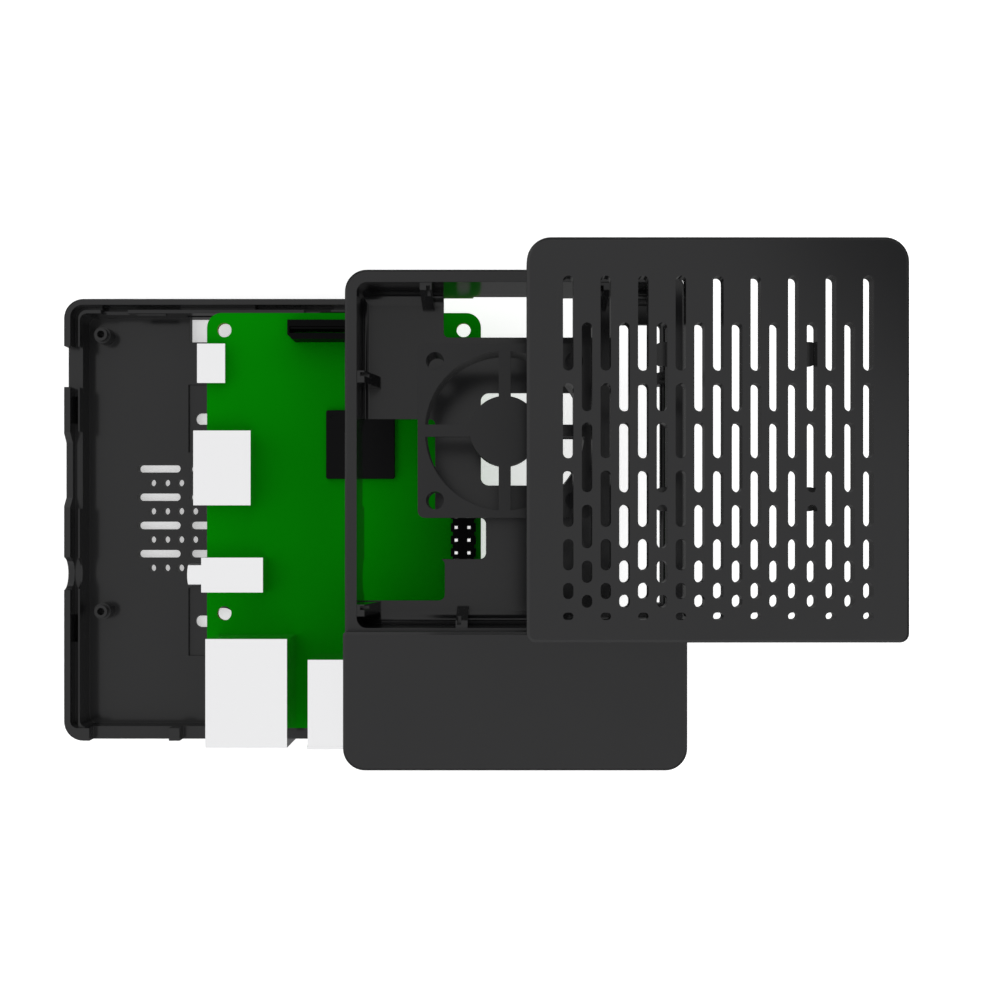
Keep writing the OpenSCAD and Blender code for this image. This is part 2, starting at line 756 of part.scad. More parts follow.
base_shell();
circuit_board();
processor();
memory_chip();
power_shell();
power_tongue();
video_shell();
video_tongue();
audio_socket();
network_shell();
network_insert();
network_contacts();
network_lamps();
usb_shell_inner();
usb_tongues_inner();
usb_shell_outer();
usb_tongues_outer();
ribbon_connector();
ribbon_latch();
header_base();
header_pins();
card_socket();
memory_card();
mid_frame();
fan_housing();
fan_bearing();
fan_coils();
fan_driver();
fan_rotor();
fan_magnet();
fan_shaft();
vent_lid();
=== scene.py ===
"""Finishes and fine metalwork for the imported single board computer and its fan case.

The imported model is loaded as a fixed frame. Each operator below gives a group of its
parts their materials, or adds the small pieces that ride with them, and the last one
sets up the studio.
"""

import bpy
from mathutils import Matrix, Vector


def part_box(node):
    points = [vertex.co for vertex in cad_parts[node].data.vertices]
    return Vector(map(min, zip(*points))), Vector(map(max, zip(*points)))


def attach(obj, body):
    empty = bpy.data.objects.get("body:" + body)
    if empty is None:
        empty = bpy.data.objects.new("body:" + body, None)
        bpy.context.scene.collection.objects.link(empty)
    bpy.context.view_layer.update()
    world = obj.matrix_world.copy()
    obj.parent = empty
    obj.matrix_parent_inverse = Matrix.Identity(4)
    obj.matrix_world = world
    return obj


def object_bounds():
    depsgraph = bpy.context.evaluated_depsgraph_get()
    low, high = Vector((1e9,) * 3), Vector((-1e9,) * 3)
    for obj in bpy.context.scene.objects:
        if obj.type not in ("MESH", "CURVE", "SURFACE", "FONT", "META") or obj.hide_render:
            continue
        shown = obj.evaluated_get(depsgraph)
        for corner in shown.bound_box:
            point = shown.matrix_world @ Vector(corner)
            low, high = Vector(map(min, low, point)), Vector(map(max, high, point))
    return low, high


bl_info = {
    "name": "Single board computer finishes",
    "version": (1, 0, 0),
    "blender": (4, 5, 0),
    "location": "3D View > Sidebar > Computer",
    "description": "Materials and fine metalwork for a single board computer in a fan case",
    "category": "Object",
}

import math

import bmesh
import bpy
from mathutils import Vector

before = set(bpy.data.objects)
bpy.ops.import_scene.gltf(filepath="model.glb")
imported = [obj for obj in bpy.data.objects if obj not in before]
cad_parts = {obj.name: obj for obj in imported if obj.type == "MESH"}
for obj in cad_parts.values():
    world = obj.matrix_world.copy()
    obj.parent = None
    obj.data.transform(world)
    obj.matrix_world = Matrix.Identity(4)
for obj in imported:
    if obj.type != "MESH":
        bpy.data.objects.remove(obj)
CAD_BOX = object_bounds()

MM = 0.001
ALONG_X = Vector((1, 0, 0))
ALONG_Y = Vector((0, 1, 0))
SHARP_EDGE = math.radians(40)  # faces that meet at more than this keep a sharp edge

# The Mix node's colour sockets, which share their names with its other kinds.
MIX_FACTOR, MIX_A, MIX_B, MIX_RESULT = 0, 6, 7, 2


def linear(code):
    """An sRGB hex colour as linear red, green and blue."""
    parts = [int(code[i:i + 2], 16) / 255 for i in (1, 3, 5)]
    return tuple(p / 12.92 if p <= 0.04045 else ((p + 0.055) / 1.055) ** 2.4 for p in parts)


def rgba(colour, shade=1.0):
    """A colour with full alpha, made darker or lighter by shade."""
    return (*(c * shade for c in colour), 1.0)


WHITE = linear("#ffffff")


# ---------- settings ----------


class CaseSettings(bpy.types.PropertyGroup):
    colour: bpy.props.FloatVectorProperty(
        name="Plastic", description="Colour inside the black ABS",
        subtype="COLOR", default=linear("#19191a"), min=0, max=1)
    grain: bpy.props.FloatProperty(
        name="Grain", description="Size of one grain of the mould's satin surface",
        unit="LENGTH", default=0.22 * MM, min=0.05 * MM, max=2 * MM)
    edge: bpy.props.FloatProperty(
        name="Edge", description="Radius that the mould leaves on an edge",
        unit="LENGTH", default=0.12 * MM, min=0, max=0.5 * MM)


class BoardSettings(bpy.types.PropertyGroup):
    mask: bpy.props.FloatVectorProperty(
        name="Solder mask", description="Colour of the green lacquer over bare laminate",
        subtype="COLOR", default=linear("#028102"), min=0, max=1)
    core: bpy.props.FloatVectorProperty(
        name="Laminate", description="Colour of the sawn glass and epoxy edge",
        subtype="COLOR", default=linear("#8f9a52"), min=0, max=1)
    weave: bpy.props.FloatProperty(
        name="Weave", description="Thread spacing of the glass cloth under the lacquer",
        unit="LENGTH", default=0.5 * MM, min=0.2 * MM, max=2 * MM)


class MetalSettings(bpy.types.PropertyGroup):
    shell: bpy.props.FloatVectorProperty(
        name="Socket shells", description="Colour of the tin-plated steel sheet",
        subtype="COLOR", default=linear("#ebebec"), min=0, max=1)
    gold: bpy.props.FloatVectorProperty(
        name="Contacts", description="Colour of the gold-plated contacts",
        subtype="COLOR", default=linear("#e6c46a"), min=0, max=1)
    spring: bpy.props.FloatProperty(
        name="Spring strip", description="Thickness of the sockets' spring strips",
        unit="LENGTH", default=0.25 * MM, min=0.1 * MM, max=0.4 * MM)


class StudioSettings(bpy.types.PropertyGroup):
    floor: bpy.props.FloatVectorProperty(
        name="Floor", description="Colour of the floor",
        subtype="COLOR", default=linear("#f8f8f8"), min=0, max=1)
    glow: bpy.props.FloatProperty(
        name="Floor glow", description="Light that the floor gives off by itself",
        default=0.45, min=0, max=1)
    sky: bpy.props.FloatProperty(
        name="Sky", description="Strength of the even white light all round",
        default=1.0, min=0, max=3)
    key: bpy.props.FloatProperty(
        name="Key light", description="Power of the softbox", unit="POWER",
        default=6, min=0, max=200)
    camera_height: bpy.props.FloatProperty(
        name="Camera height", description="Height of the camera above the top of the lid",
        unit="LENGTH", default=244.6 * MM, min=0.1, max=3)
    camera_shift: bpy.props.FloatVectorProperty(
        name="Camera place", description="How far the camera stands from the middle of the parts",
        size=2, unit="LENGTH", default=(11.7 * MM, -2.1 * MM))
    lens: bpy.props.FloatProperty(
        name="Lens", description="Focal length", default=54, min=20, max=200)


# ---------- materials ----------


def add(tree, kind, inputs=None, links=None, **settings):
    """Adds a node of that kind, sets its settings and sockets, and links its inputs."""
    made = tree.nodes.new(kind)
    for name, value in settings.items():
        setattr(made, name, value)
    for name, value in (inputs or {}).items():
        made.inputs[name].default_value = value
    for name, source in (links or {}).items():
        tree.links.new(source, made.inputs[name])
    return made


def start_material(name):
    """A new empty material's node tree, with the piece's own coordinates in metres."""
    material = bpy.data.materials.new(name)
    material.use_nodes = True
    tree = material.node_tree
    tree.nodes.clear()
    place = add(tree, "ShaderNodeTexCoord").outputs["Object"]
    return material, tree, place


def finish_material(tree, shader):
    """Links the shader to the material's output."""
    add(tree, "ShaderNodeOutputMaterial", links={"Surface": shader.outputs[0]})


def band_scale(spacing):
    """The Wave texture's scale for bands that far apart."""
    radians_per_metre = 20  # at scale 1
    return math.tau / (radians_per_metre * spacing)


def moulded_plastic(
        name, colour, roughness, wander, grain, depth, edge, ior=1.5, specular=0.5, blotch=14 * MM):
    """Injection-moulded plastic: the mould's grain as a fine bump of that depth, a shade
    and a gloss that wander from blotch to blotch, and edges left slightly round."""
    material, tree, place = start_material(name)
    darker, lighter = 0.9, 1.1
    cloud = add(tree, "ShaderNodeTexNoise", {"Scale": 1 / blotch, "Detail": 2.0}, {"Vector": place})
    speckle = add(tree, "ShaderNodeTexNoise", {"Scale": 1 / grain, "Detail": 1.0}, {"Vector": place})
    round_edge = add(tree, "ShaderNodeBevel", {"Radius": edge}, samples=4)
    bump = add(
        tree, "ShaderNodeBump", {"Strength": 1.0, "Distance": depth},
        {"Height": speckle.outputs["Fac"], "Normal": round_edge.outputs["Normal"]})
    shade = add(
        tree, "ShaderNodeMix", {MIX_A: rgba(colour, darker), MIX_B: rgba(colour, lighter)},
        {MIX_FACTOR: cloud.outputs["Fac"]}, data_type="RGBA")
    gloss = add(
        tree, "ShaderNodeMapRange", {"To Min": roughness - wander, "To Max": roughness + wander},
        {"Value": cloud.outputs["Fac"]})
    shader = add(
        tree, "ShaderNodeBsdfPrincipled", {"IOR": ior, "Specular IOR Level": specular},
        {"Base Color": shade.outputs[MIX_RESULT], "Roughness": gloss.outputs["Result"],
         "Normal": bump.outputs["Normal"]})
    finish_material(tree, shader)
    return material


def satin_black_abs(case):
    """ABS from a satin mould: charcoal body, a faint soft reflection over it, fine grain."""
    return moulded_plastic(
        "moulded_black_abs", case.colour, roughness=0.16, wander=0.02,
        grain=case.grain, depth=0.0009 * MM, edge=case.edge, ior=1.53, specular=0.3)


def fan_pbt(case):
    """Glass-filled PBT: as black as the case, a little duller, with flow marks from the fibres."""
    return moulded_plastic(
        "moulded_black_pbt", case.colour, roughness=0.22, wander=0.03,
        grain=0.35 * MM, depth=0.0016 * MM, edge=0.1 * MM, ior=1.55, specular=0.22, blotch=5 * MM)


def socket_nylon():
    """Black nylon of the sockets' insides and the header's strip: deep black and dull."""
    return moulded_plastic(
        "moulded_black_nylon", linear("#080809"), roughness=0.42, wander=0.04,
        grain=0.3 * MM, depth=0.002 * MM, edge=0.05 * MM, ior=1.53, specular=0.03)


def white_nylon():
    """White nylon tongues: even white, slightly waxy."""
    return moulded_plastic(
        "moulded_white_nylon", linear("#ecebe6"), roughness=0.38, wander=0.04,
        grain=0.3 * MM, depth=0.002 * MM, edge=0.06 * MM, ior=1.53)


def chip_epoxy():
    """Epoxy moulding compound: charcoal black and dull, with the sandy grain of its filler."""
    return moulded_plastic(
        "moulded_chip_epoxy", linear("#121213"), roughness=0.5, wander=0.05,
        grain=0.16 * MM, depth=0.004 * MM, edge=0.06 * MM, ior=1.55, specular=0.03)


def solder_mask(board):
    """Green solder mask on glass-epoxy laminate: even green lacquer that shows a trace of the
    glass cloth under it, and bare straw-green laminate on the sawn edges."""
    material, tree, place = start_material("solder_mask_on_laminate")
    blotch, wander = 9 * MM, 0.04
    upright = 0.5  # a face whose normal rises or falls less than this is a sawn edge
    threads = []
    for direction in ("X", "Y"):
        # One wave of the cloth for each thread, which is very fine in a whole view.
        wave = add(
            tree, "ShaderNodeTexWave", {"Scale": band_scale(board.weave), "Distortion": 0.6},
            {"Vector": place}, wave_type="BANDS", bands_direction=direction)
        threads.append(wave.outputs["Fac"])
    cloth = add(tree, "ShaderNodeMath", links={0: threads[0], 1: threads[1]}, operation="MULTIPLY")
    cloud = add(tree, "ShaderNodeTexNoise", {"Scale": 1 / blotch, "Detail": 3.0}, {"Vector": place})
    lacquer = add(
        tree, "ShaderNodeMix",
        {MIX_A: rgba(board.mask, 1 - wander), MIX_B: rgba(board.mask, 1 + wander)},
        {MIX_FACTOR: cloud.outputs["Fac"]}, data_type="RGBA")
    facing = add(tree, "ShaderNodeSeparateXYZ", links={
        "Vector": add(tree, "ShaderNodeNewGeometry").outputs["True Normal"]})
    level = add(tree, "ShaderNodeMath", links={0: facing.outputs["Z"]}, operation="ABSOLUTE")
    flat = add(tree, "ShaderNodeMath", {1: upright}, {0: level.outputs[0]}, operation="GREATER_THAN")
    colour = add(
        tree, "ShaderNodeMix", {MIX_A: rgba(board.core)},
        {MIX_FACTOR: flat.outputs[0], MIX_B: lacquer.outputs[MIX_RESULT]}, data_type="RGBA")
    bump = add(
        tree, "ShaderNodeBump", {"Strength": 0.5, "Distance": 0.002 * MM},
        {"Height": cloth.outputs[0]})
    shader = add(
        tree, "ShaderNodeBsdfPrincipled",
        {"IOR": 1.5, "Specular IOR Level": 0.008, "Roughness": 0.25},
        {"Base Color": colour.outputs[MIX_RESULT], "Normal": bump.outputs["Normal"]})
    finish_material(tree, shader)
    return material


def sheet_metal(name, colour, roughness, streak, edge=0.05 * MM):
    """Rolled sheet: fine streaks along Y, from the rolls, that break up the gloss."""
    material, tree, place = start_material(name)
    streak_length, wander = streak * 25, 0.2
    along = add(
        tree, "ShaderNodeMapping", {"Scale": (1 / streak, 1 / streak_length, 1 / streak)},
        {"Vector": place})
    rolled = add(
        tree, "ShaderNodeTexNoise", {"Scale": 1.0, "Detail": 2.0}, {"Vector": along.outputs[0]})
    round_edge = add(tree, "ShaderNodeBevel", {"Radius": edge}, samples=4)
    bump = add(
        tree, "ShaderNodeBump", {"Strength": 0.6, "Distance": 0.0006 * MM},
        {"Height": rolled.outputs["Fac"], "Normal": round_edge.outputs["Normal"]})
    gloss = add(
        tree, "ShaderNodeMapRange",
        {"To Min": roughness * (1 - wander), "To Max": roughness * (1 + wander)},
        {"Value": rolled.outputs["Fac"]})
    shader = add(
        tree, "ShaderNodeBsdfPrincipled", {"Base Color": rgba(colour), "Metallic": 1.0},
        {"Roughness": gloss.outputs["Result"], "Normal": bump.outputs["Normal"]})
    finish_material(tree, shader)
    return material


def tinned_steel(metal):
    """Tin-plated steel sheet: nearly white, with a soft mirror."""
    return sheet_metal("tinned_rolled_steel", metal.shell, roughness=0.16, streak=0.3 * MM)


def bright_tin():
    """Bright tin plate on the header's square pins."""
    return sheet_metal(
        "tinned_drawn_pins", linear("#f2f2f2"), roughness=0.14, streak=0.15 * MM, edge=0.04 * MM)


def gold_plate(metal):
    """Thin gold over nickel: warm yellow with a clean soft shine."""
    return sheet_metal(
        "gold_plated_contacts", metal.gold, roughness=0.2, streak=0.2 * MM, edge=0.03 * MM)


def solder():
    """Cooled tin solder: silver-grey, faintly dimpled where it froze."""
    material, tree, place = start_material("reflowed_solder")
    dimple = 0.5 * MM
    dimples = add(tree, "ShaderNodeTexNoise", {"Scale": 1 / dimple, "Detail": 2.0}, {"Vector": place})
    bump = add(
        tree, "ShaderNodeBump", {"Strength": 0.5, "Distance": 0.02 * MM},
        {"Height": dimples.outputs["Fac"]})
    gloss = add(
        tree, "ShaderNodeMapRange", {"To Min": 0.22, "To Max": 0.34},
        {"Value": dimples.outputs["Fac"]})
    shader = add(
        tree, "ShaderNodeBsdfPrincipled", {"Base Color": rgba(linear("#d5d6d8")), "Metallic": 1.0},
        {"Roughness": gloss.outputs["Result"], "Normal": bump.outputs["Normal"]})
    finish_material(tree, shader)
    return material


def lamp_lens():
    """Clear polycarbonate light pipe, tinted amber: light sinks into it before it comes back."""
    material, tree, place = start_material("moulded_tinted_polycarbonate")
    blotch = 1.5 * MM
    cloud = add(tree, "ShaderNodeTexNoise", {"Scale": 1 / blotch, "Detail": 1.0}, {"Vector": place})
    tint = add(
        tree, "ShaderNodeMix", {MIX_A: rgba(linear("#d9b64a")), MIX_B: rgba(linear("#ecd27a"))},
        {MIX_FACTOR: cloud.outputs["Fac"]}, data_type="RGBA")
    shader = add(
        tree, "ShaderNodeBsdfPrincipled",
        {"IOR": 1.58, "Roughness": 0.12, "Transmission Weight": 0.35},
        {"Base Color": tint.outputs[MIX_RESULT]})
    finish_material(tree, shader)
    return material


def sintered_bronze():
    """Pressed and sintered bronze powder soaked in oil: brown-gold, with open pores."""
    material, tree, place = start_material("sintered_oiled_bronze")
    powder_grain = 0.12 * MM
    pores = add(tree, "ShaderNodeTexVoronoi", {"Scale": 1 / powder_grain}, {"Vector": place})
    colour = add(
        tree, "ShaderNodeMix", {MIX_A: rgba(linear("#5a4018")), MIX_B: rgba(linear("#b08a4a"))},
        {MIX_FACTOR: pores.outputs["Distance"]}, data_type="RGBA")
    bump = add(
        tree, "ShaderNodeBump", {"Strength": 0.6, "Distance": 0.01 * MM},
        {"Height": pores.outputs["Distance"]})
    shader = add(
        tree, "ShaderNodeBsdfPrincipled", {"Metallic": 1.0, "Roughness": 0.36},
        {"Base Color": colour.outputs[MIX_RESULT], "Normal": bump.outputs["Normal"]})
    finish_material(tree, shader)
    return material


def enamelled_copper():
    """Enamelled copper wire, wound in even turns: a ridge for each wire, with painted shade in the
    grooves between turns and a painted highlight along each crest.
    """
    material, tree, place = start_material("enamelled_wound_copper")
    wire = 0.12 * MM
    turns = add(
        tree, "ShaderNodeTexWave", {"Scale": band_scale(wire), "Distortion": 0.3},
        {"Vector": place}, wave_type="BANDS", bands_direction="Z")
    # Painted shade and highlight: the same bands as the ridges, dark brown in the grooves between
    # turns and bright copper on the crests.
    colour = add(
        tree, "ShaderNodeMix", {MIX_A: rgba(linear("#5e2611")), MIX_B: rgba(linear("#c8733a"))},
        {MIX_FACTOR: turns.outputs["Fac"]}, data_type="RGBA")
    bump = add(
        tree, "ShaderNodeBump", {"Strength": 0.8, "Distance": 0.05 * MM},
        {"Height": turns.outputs["Fac"]})
    shader = add(
        tree, "ShaderNodeBsdfPrincipled",
        {"Metallic": 1.0, "Roughness": 0.28, "Coat Weight": 0.5, "Coat Roughness": 0.1},
        {"Base Color": colour.outputs[MIX_RESULT], "Normal": bump.outputs["Normal"]})
    finish_material(tree, shader)
    return material


def bonded_ferrite():
    """Ferrite powder bonded in rubber: dark grey and dull, with a mealy surface."""
    return moulded_plastic(
        "bonded_ferrite_ring", linear("#3a3a3d"), roughness=0.6, wander=0.05,
        grain=0.2 * MM, depth=0.006 * MM, edge=0.05 * MM, ior=1.6)


def ground_steel():
    """Centreless-ground steel: bright, with fine rings round the shaft."""
    material, tree, place = start_material("ground_steel_shaft")
    ring = 0.08 * MM
    rings = add(
        tree, "ShaderNodeTexWave", {"Scale": band_scale(ring), "Distortion": 1.0},
        {"Vector": place}, wave_type="BANDS", bands_direction="Z")
    gloss = add(
        tree, "ShaderNodeMapRange", {"To Min": 0.14, "To Max": 0.24},
        {"Value": rings.outputs["Fac"]})
    shader = add(
        tree, "ShaderNodeBsdfPrincipled", {"Base Color": rgba(linear("#cfd0d3")), "Metallic": 1.0},
        {"Roughness": gloss.outputs["Result"]})
    finish_material(tree, shader)
    return material


def matt_card(studio):
    """Pale matt card, lit from behind as on a light table, with a soft paper tooth."""
    material, tree, place = start_material("matt_pale_card")
    fibre = 1.2 * MM
    tooth = add(tree, "ShaderNodeTexNoise", {"Scale": 1 / fibre, "Detail": 3.0}, {"Vector": place})
    shade = add(
        tree, "ShaderNodeMix", {MIX_A: rgba(studio.floor, 0.995), MIX_B: rgba(studio.floor)},
        {MIX_FACTOR: tooth.outputs["Fac"]}, data_type="RGBA")
    shader = add(
        tree, "ShaderNodeBsdfPrincipled",
        {"Roughness": 0.9, "Specular IOR Level": 0.0, "Emission Strength": studio.glow,
         "Emission Color": rgba(WHITE)},
        {"Base Color": shade.outputs[MIX_RESULT]})
    finish_material(tree, shader)
    return material


def dress(nodes, material):
    """Gives CAD nodes their material, in every slot that they have."""
    for name in nodes:
        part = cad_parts[name]
        if not part.material_slots:
            part.data.materials.append(material)
        for slot in part.material_slots:
            slot.material = material


# ---------- shapes ----------


def turned(bm, centre, profile, steps=20):
    """A closed turned form about +Z: profile is (radius, height) pairs from pole to pole."""
    rings = []
    for radius, height in profile:
        if radius == 0:
            rings.append([bm.verts.new(centre + Vector((0, 0, height)))])
            continue
        ring = []
        for i in range(steps):
            angle = math.tau * i / steps
            point = Vector((radius * math.cos(angle), radius * math.sin(angle), height))
            ring.append(bm.verts.new(centre + point))
        rings.append(ring)
    for low, high in zip(rings, rings[1:]):
        for i in range(steps):
            j = (i + 1) % steps
            corners = [low[i % len(low)], low[j % len(low)], high[j % len(high)], high[i % len(high)]]
            bm.faces.new(list(dict.fromkeys(corners)))


def strip(bm, path, across, width, thickness):
    """A closed flat strip that follows path: across is the unit vector of its width."""
    sections = []
    corners = ((-1, -1), (1, -1), (1, 1), (-1, 1))
    for i, point in enumerate(path):
        ahead = path[min(i + 1, len(path) - 1)] - path[max(i - 1, 0)]
        up = across.cross(ahead).normalized() * thickness / 2
        side = across * width / 2
        sections.append([bm.verts.new(point + s * side + u * up) for s, u in corners])
    for low, high in zip(sections, sections[1:]):
        for i in range(4):
            j = (i + 1) % 4
            bm.faces.new([low[i], low[j], high[j], high[i]])
    bm.faces.new(sections[0][::-1])
    bm.faces.new(sections[-1])


def add_piece(name, bm, body, material):
    """Turns the mesh into a piece that rides on a CAD body."""
    bmesh.ops.recalc_face_normals(bm, faces=bm.faces)
    for face in bm.faces:
        face.smooth = True
    mesh = bpy.data.meshes.new(name)
    bm.to_mesh(mesh)
    bm.free()
    mesh.set_sharp_from_angle(angle=SHARP_EDGE)
    mesh.materials.append(material)
    piece = bpy.data.objects.new(name, mesh)
    bpy.context.scene.collection.objects.link(piece)
    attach(piece, body)


def spread(count, low, high):
    """Evenly spaced places from low to high."""
    return [low + (high - low) * i / (count - 1) for i in range(count)]


# ---------- operators ----------


class COMPUTER_OT_case(bpy.types.Operator):
    """Dress the base shell, the middle frame and the lid as satin ABS"""
    bl_idname = "computer.case"
    bl_label = "Case shells"

    def execute(self, context):
        dress(["base_shell", "mid_frame", "vent_lid"], satin_black_abs(context.scene.computer_case))
        return {"FINISHED"}


class COMPUTER_OT_board(bpy.types.Operator):
    """Dress the computer's board and the fan's driver board as lacquered laminate"""
    bl_idname = "computer.board"
    bl_label = "Circuit boards"

    def execute(self, context):
        dress(["circuit_board", "fan_driver"], solder_mask(context.scene.computer_board))
        return {"FINISHED"}


class COMPUTER_OT_chips(bpy.types.Operator):
    """Dress the chips and the memory card as moulded epoxy"""
    bl_idname = "computer.chips"
    bl_label = "Chips and card"

    def execute(self, context):
        dress(["processor", "memory_chip", "memory_card"], chip_epoxy())
        return {"FINISHED"}


class COMPUTER_OT_sockets(bpy.types.Operator):
    """Dress the sockets' shells, insides, lamps and contacts"""
    bl_idname = "computer.sockets"
    bl_label = "Sockets"

    def execute(self, context):
        metal = context.scene.computer_metal
        dress(
            ["power_shell", "video_shell", "audio_socket", "network_shell",
             "usb_shell_inner", "usb_shell_outer", "card_socket"], tinned_steel(metal))
        dress(
            ["power_tongue", "video_tongue", "network_insert", "ribbon_connector",
             "ribbon_latch", "header_base"], socket_nylon())
        dress(["usb_tongues_inner", "usb_tongues_outer"], white_nylon())
        dress(["network_contacts"], gold_plate(metal))
        dress(["network_lamps"], lamp_lens())
        dress(["header_pins"], bright_tin())
        return {"FINISHED"}


class COMPUTER_OT_fan(bpy.types.Operator):
    """Dress the fan and what is inside its hub"""
    bl_idname = "computer.fan"
    bl_label = "Fan"

    def execute(self, context):
        dress(["fan_housing", "fan_rotor"], fan_pbt(context.scene.computer_case))
        dress(["fan_bearing"], sintered_bronze())
        dress(["fan_coils"], enamelled_copper())
        dress(["fan_magnet"], bonded_ferrite())
        dress(["fan_shaft"], ground_steel())
        return {"FINISHED"}


class COMPUTER_OT_socket_springs(bpy.types.Operator):
    """Add the spring strips and contacts inside the USB, video and power sockets"""
    bl_idname = "computer.socket_springs"
    bl_label = "Springs and contacts"

    # A stacked USB socket's mouths and tongues, as its shell has them.
    LEVELS = 2
    LEVEL_STEP = 7.3 * MM
    MOUTH_HEIGHT = 5.2 * MM
    TONGUE_RISE = 2.7 * MM  # from a mouth's floor to the underside of its tongue
    # Its springs, which bow into the mouth.
    SPRING_SIDE = 3.2 * MM  # from the middle of the mouth
    SPRING_START = 0.8 * MM  # behind the shell's front
    SPRING_LENGTH = 6.5 * MM
    SPRING_WIDTH = 1.8 * MM
    SPRING_BOW = 0.35 * MM
    SPRING_FLAT = 0.2  # the part of its length that lies flat, at its back end
    # Its four contacts, which bow down from under the tongue.
    CONTACT_SIDES = (-3.5 * MM, -1.0 * MM, 1.0 * MM, 3.5 * MM)
    CONTACT_START = 0.7 * MM  # behind the tongue's front
    CONTACT_LENGTH = 6.6 * MM
    CONTACT_WIDTH = 1.0 * MM
    CONTACT_THICKNESS = 0.16 * MM
    CONTACT_BOW = 0.22 * MM
    BOW_POINTS = 9

    # The flat contacts of the video and power sockets, sunk slightly into their tongues.
    FLAT_THICKNESS = 0.08 * MM
    FLAT_LIFT = 0.03 * MM
    FLAT_START = 0.3 * MM  # behind the tongue's front
    FLAT_MARGIN = 0.7 * MM  # from the tongue's side to the middle of its last contact

    def execute(self, context):
        metal = context.scene.computer_metal
        springs = bmesh.new()
        usb_contacts = bmesh.new()
        for end in ("inner", "outer"):
            shell, tongues = f"usb_shell_{end}", f"usb_tongues_{end}"
            self.usb(springs, usb_contacts, shell, tongues, metal.spring)
        add_piece("usb_springs", springs, "board", tinned_steel(metal))
        gold = gold_plate(metal)
        add_piece("usb_contacts", usb_contacts, "board", gold)
        video = bmesh.new()
        self.tongue_row(video, "video_tongue", count=10, width=0.3 * MM, length=4.5 * MM, side=1)
        self.tongue_row(video, "video_tongue", count=9, width=0.3 * MM, length=4.5 * MM, side=-1)
        add_piece("video_contacts", video, "board", gold)
        power = bmesh.new()
        self.tongue_row(power, "power_tongue", count=5, width=0.35 * MM, length=2.6 * MM, side=-1)
        add_piece("power_contacts", power, "board", gold)
        return {"FINISHED"}

    def usb(self, springs, contacts, shell, tongues, thickness):
        """Two springs above and two below in each mouth, and four contacts under each tongue."""
        shell_low, shell_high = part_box(shell)
        tongue_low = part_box(tongues)[0]
        middle = (shell_low.x + shell_high.x) / 2
        for level in range(self.LEVELS):
            under = tongue_low.z + level * self.LEVEL_STEP
            mouth_floor = under - self.TONGUE_RISE
            mouth_top = mouth_floor + self.MOUTH_HEIGHT
            for side in (-1, 1):
                x = middle + side * self.SPRING_SIDE
                for wall, inward in ((mouth_floor, 1), (mouth_top, -1)):
                    start = Vector((x, shell_low.y + self.SPRING_START, wall))
                    self.spring(springs, start, inward, thickness)
            for offset in self.CONTACT_SIDES:
                start = Vector((middle + offset, tongue_low.y + self.CONTACT_START, under))
                self.bowed_contact(contacts, start)

    def spring(self, bm, start, inward, thickness):
        """A strip from start along +Y, bowed inward: up for 1 and down for -1."""
        path = []
        for t in spread(self.BOW_POINTS, 0, 1):
            bow = self.SPRING_BOW * math.sin(math.pi * min(t / (1 - self.SPRING_FLAT), 1))
            path.append(start + Vector((0, self.SPRING_LENGTH * t, inward * (thickness / 2 + bow))))
        strip(bm, path, ALONG_X, self.SPRING_WIDTH, thickness)

    def bowed_contact(self, bm, start):
        """A contact from start along +Y, against the tongue's underside and bowed down."""
        path = []
        for t in spread(self.BOW_POINTS, 0, 1):
            bow = self.CONTACT_BOW * math.sin(math.pi * t) ** 2
            drop = self.CONTACT_THICKNESS / 2 + bow
            path.append(start + Vector((0, self.CONTACT_LENGTH * t, -drop)))
        strip(bm, path, ALONG_X, self.CONTACT_WIDTH, self.CONTACT_THICKNESS)

    def tongue_row(self, bm, tongue, count, width, length, side):
        """Flat contacts on the tongue of a socket that opens towards -X: side is 1 for the
        tongue's top and -1 for its underside."""
        low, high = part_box(tongue)
        z = (high.z if side == 1 else low.z) + side * self.FLAT_LIFT
        x = low.x + self.FLAT_START
        for y in spread(count, low.y + self.FLAT_MARGIN, high.y - self.FLAT_MARGIN):
            path = [Vector((x + length * t, y, z)) for t in (0, 0.5, 1)]
            strip(bm, path, ALONG_Y, width, self.FLAT_THICKNESS)


class COMPUTER_OT_card_pads(bpy.types.Operator):
    """Add the memory card's eight gold pads"""
    bl_idname = "computer.card_pads"
    bl_label = "Card pads"

    PADS = 8
    WIDTH = 0.8 * MM
    LENGTH = 3.0 * MM
    THICKNESS = 0.05 * MM
    DROP = 0.01 * MM  # from the card's underside to the middle of a pad
    FROM_END = 0.9 * MM
    FROM_LEFT, FROM_RIGHT = 1.4 * MM, 1.9 * MM  # from the card's sides to its outer pads

    def execute(self, context):
        low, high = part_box("memory_card")
        y, z = low.y + self.FROM_END, low.z - self.DROP
        pads = bmesh.new()
        for x in spread(self.PADS, low.x + self.FROM_LEFT, high.x - self.FROM_RIGHT):
            path = [Vector((x, y + self.LENGTH * t, z)) for t in (0, 0.5, 1)]
            strip(pads, path, ALONG_X, self.WIDTH, self.THICKNESS)
        gold = gold_plate(context.scene.computer_metal)
        add_piece("card_pads", pads, "card", gold)
        return {"FINISHED"}


